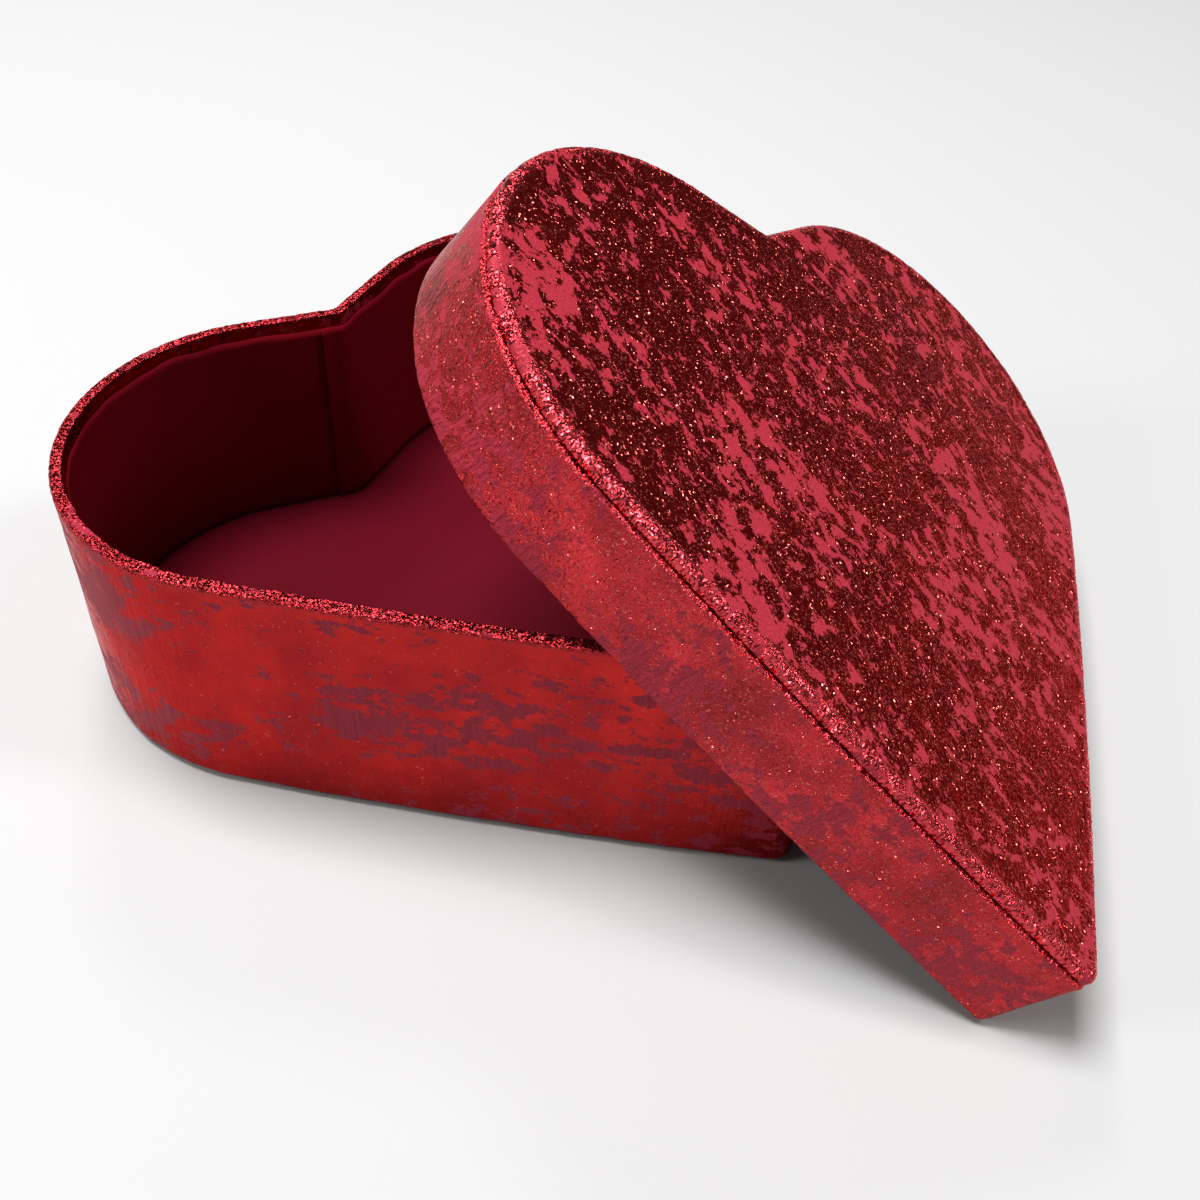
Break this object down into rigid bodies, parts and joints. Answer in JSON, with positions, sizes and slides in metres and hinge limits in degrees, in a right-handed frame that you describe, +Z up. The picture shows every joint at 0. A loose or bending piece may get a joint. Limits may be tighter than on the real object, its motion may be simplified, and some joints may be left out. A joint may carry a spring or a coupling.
{
  "type": "heart-shaped gift box",
  "caption": "Heart-shaped rigid card box covered in worn red foil paper, with a deep lift-off lid leaning against it, tip on the table.",
  "frame": {"origin": "underside of the box, in the middle of its length and width", "axes": "+Z up; -Y towards the tip of the heart, +Y towards the cleft between the lobes; +X to the right seen from the tip"},
  "size_m": [0.1825, 0.1895, 0.0978],
  "materials": {
    "foil_paper": "metallic red foil, rubbed through to matt pink in ragged flecks",
    "chipboard": "grey chipboard",
    "lining_paper": "matt wine-red paper",
    "kraft_tape": "gummed brown paper strip",
    "bottom_paper": "matt wine-red paper"
  },
  "bodies": {
    "base": {"base_wall_board_left": "chipboard", "base_wall_board_right": "chipboard", "base_floor_board": "chipboard", "base_tip_stay": "kraft_tape", "base_cleft_stay": "kraft_tape", "base_wall_wrap": "foil_paper", "base_bottom_sheet": "bottom_paper", "base_wall_liner_left": "lining_paper", "base_wall_liner_right": "lining_paper", "base_floor_liner": "lining_paper"},
    "lid": {"lid_skirt_board_left": "chipboard", "lid_skirt_board_right": "chipboard", "lid_top_board": "chipboard", "lid_tip_stay": "kraft_tape", "lid_cleft_stay": "kraft_tape", "lid_skirt_wrap": "foil_paper", "lid_top_wrap": "foil_paper", "lid_skirt_liner_left": "lining_paper", "lid_skirt_liner_right": "lining_paper", "lid_top_liner": "lining_paper"}
  },
  "joints": [
    {"name": "lid_lift", "type": "slide", "parent": "base", "child": "lid", "axis": [0, 0, 1], "range_m": [0, 0.08]}
  ]
}
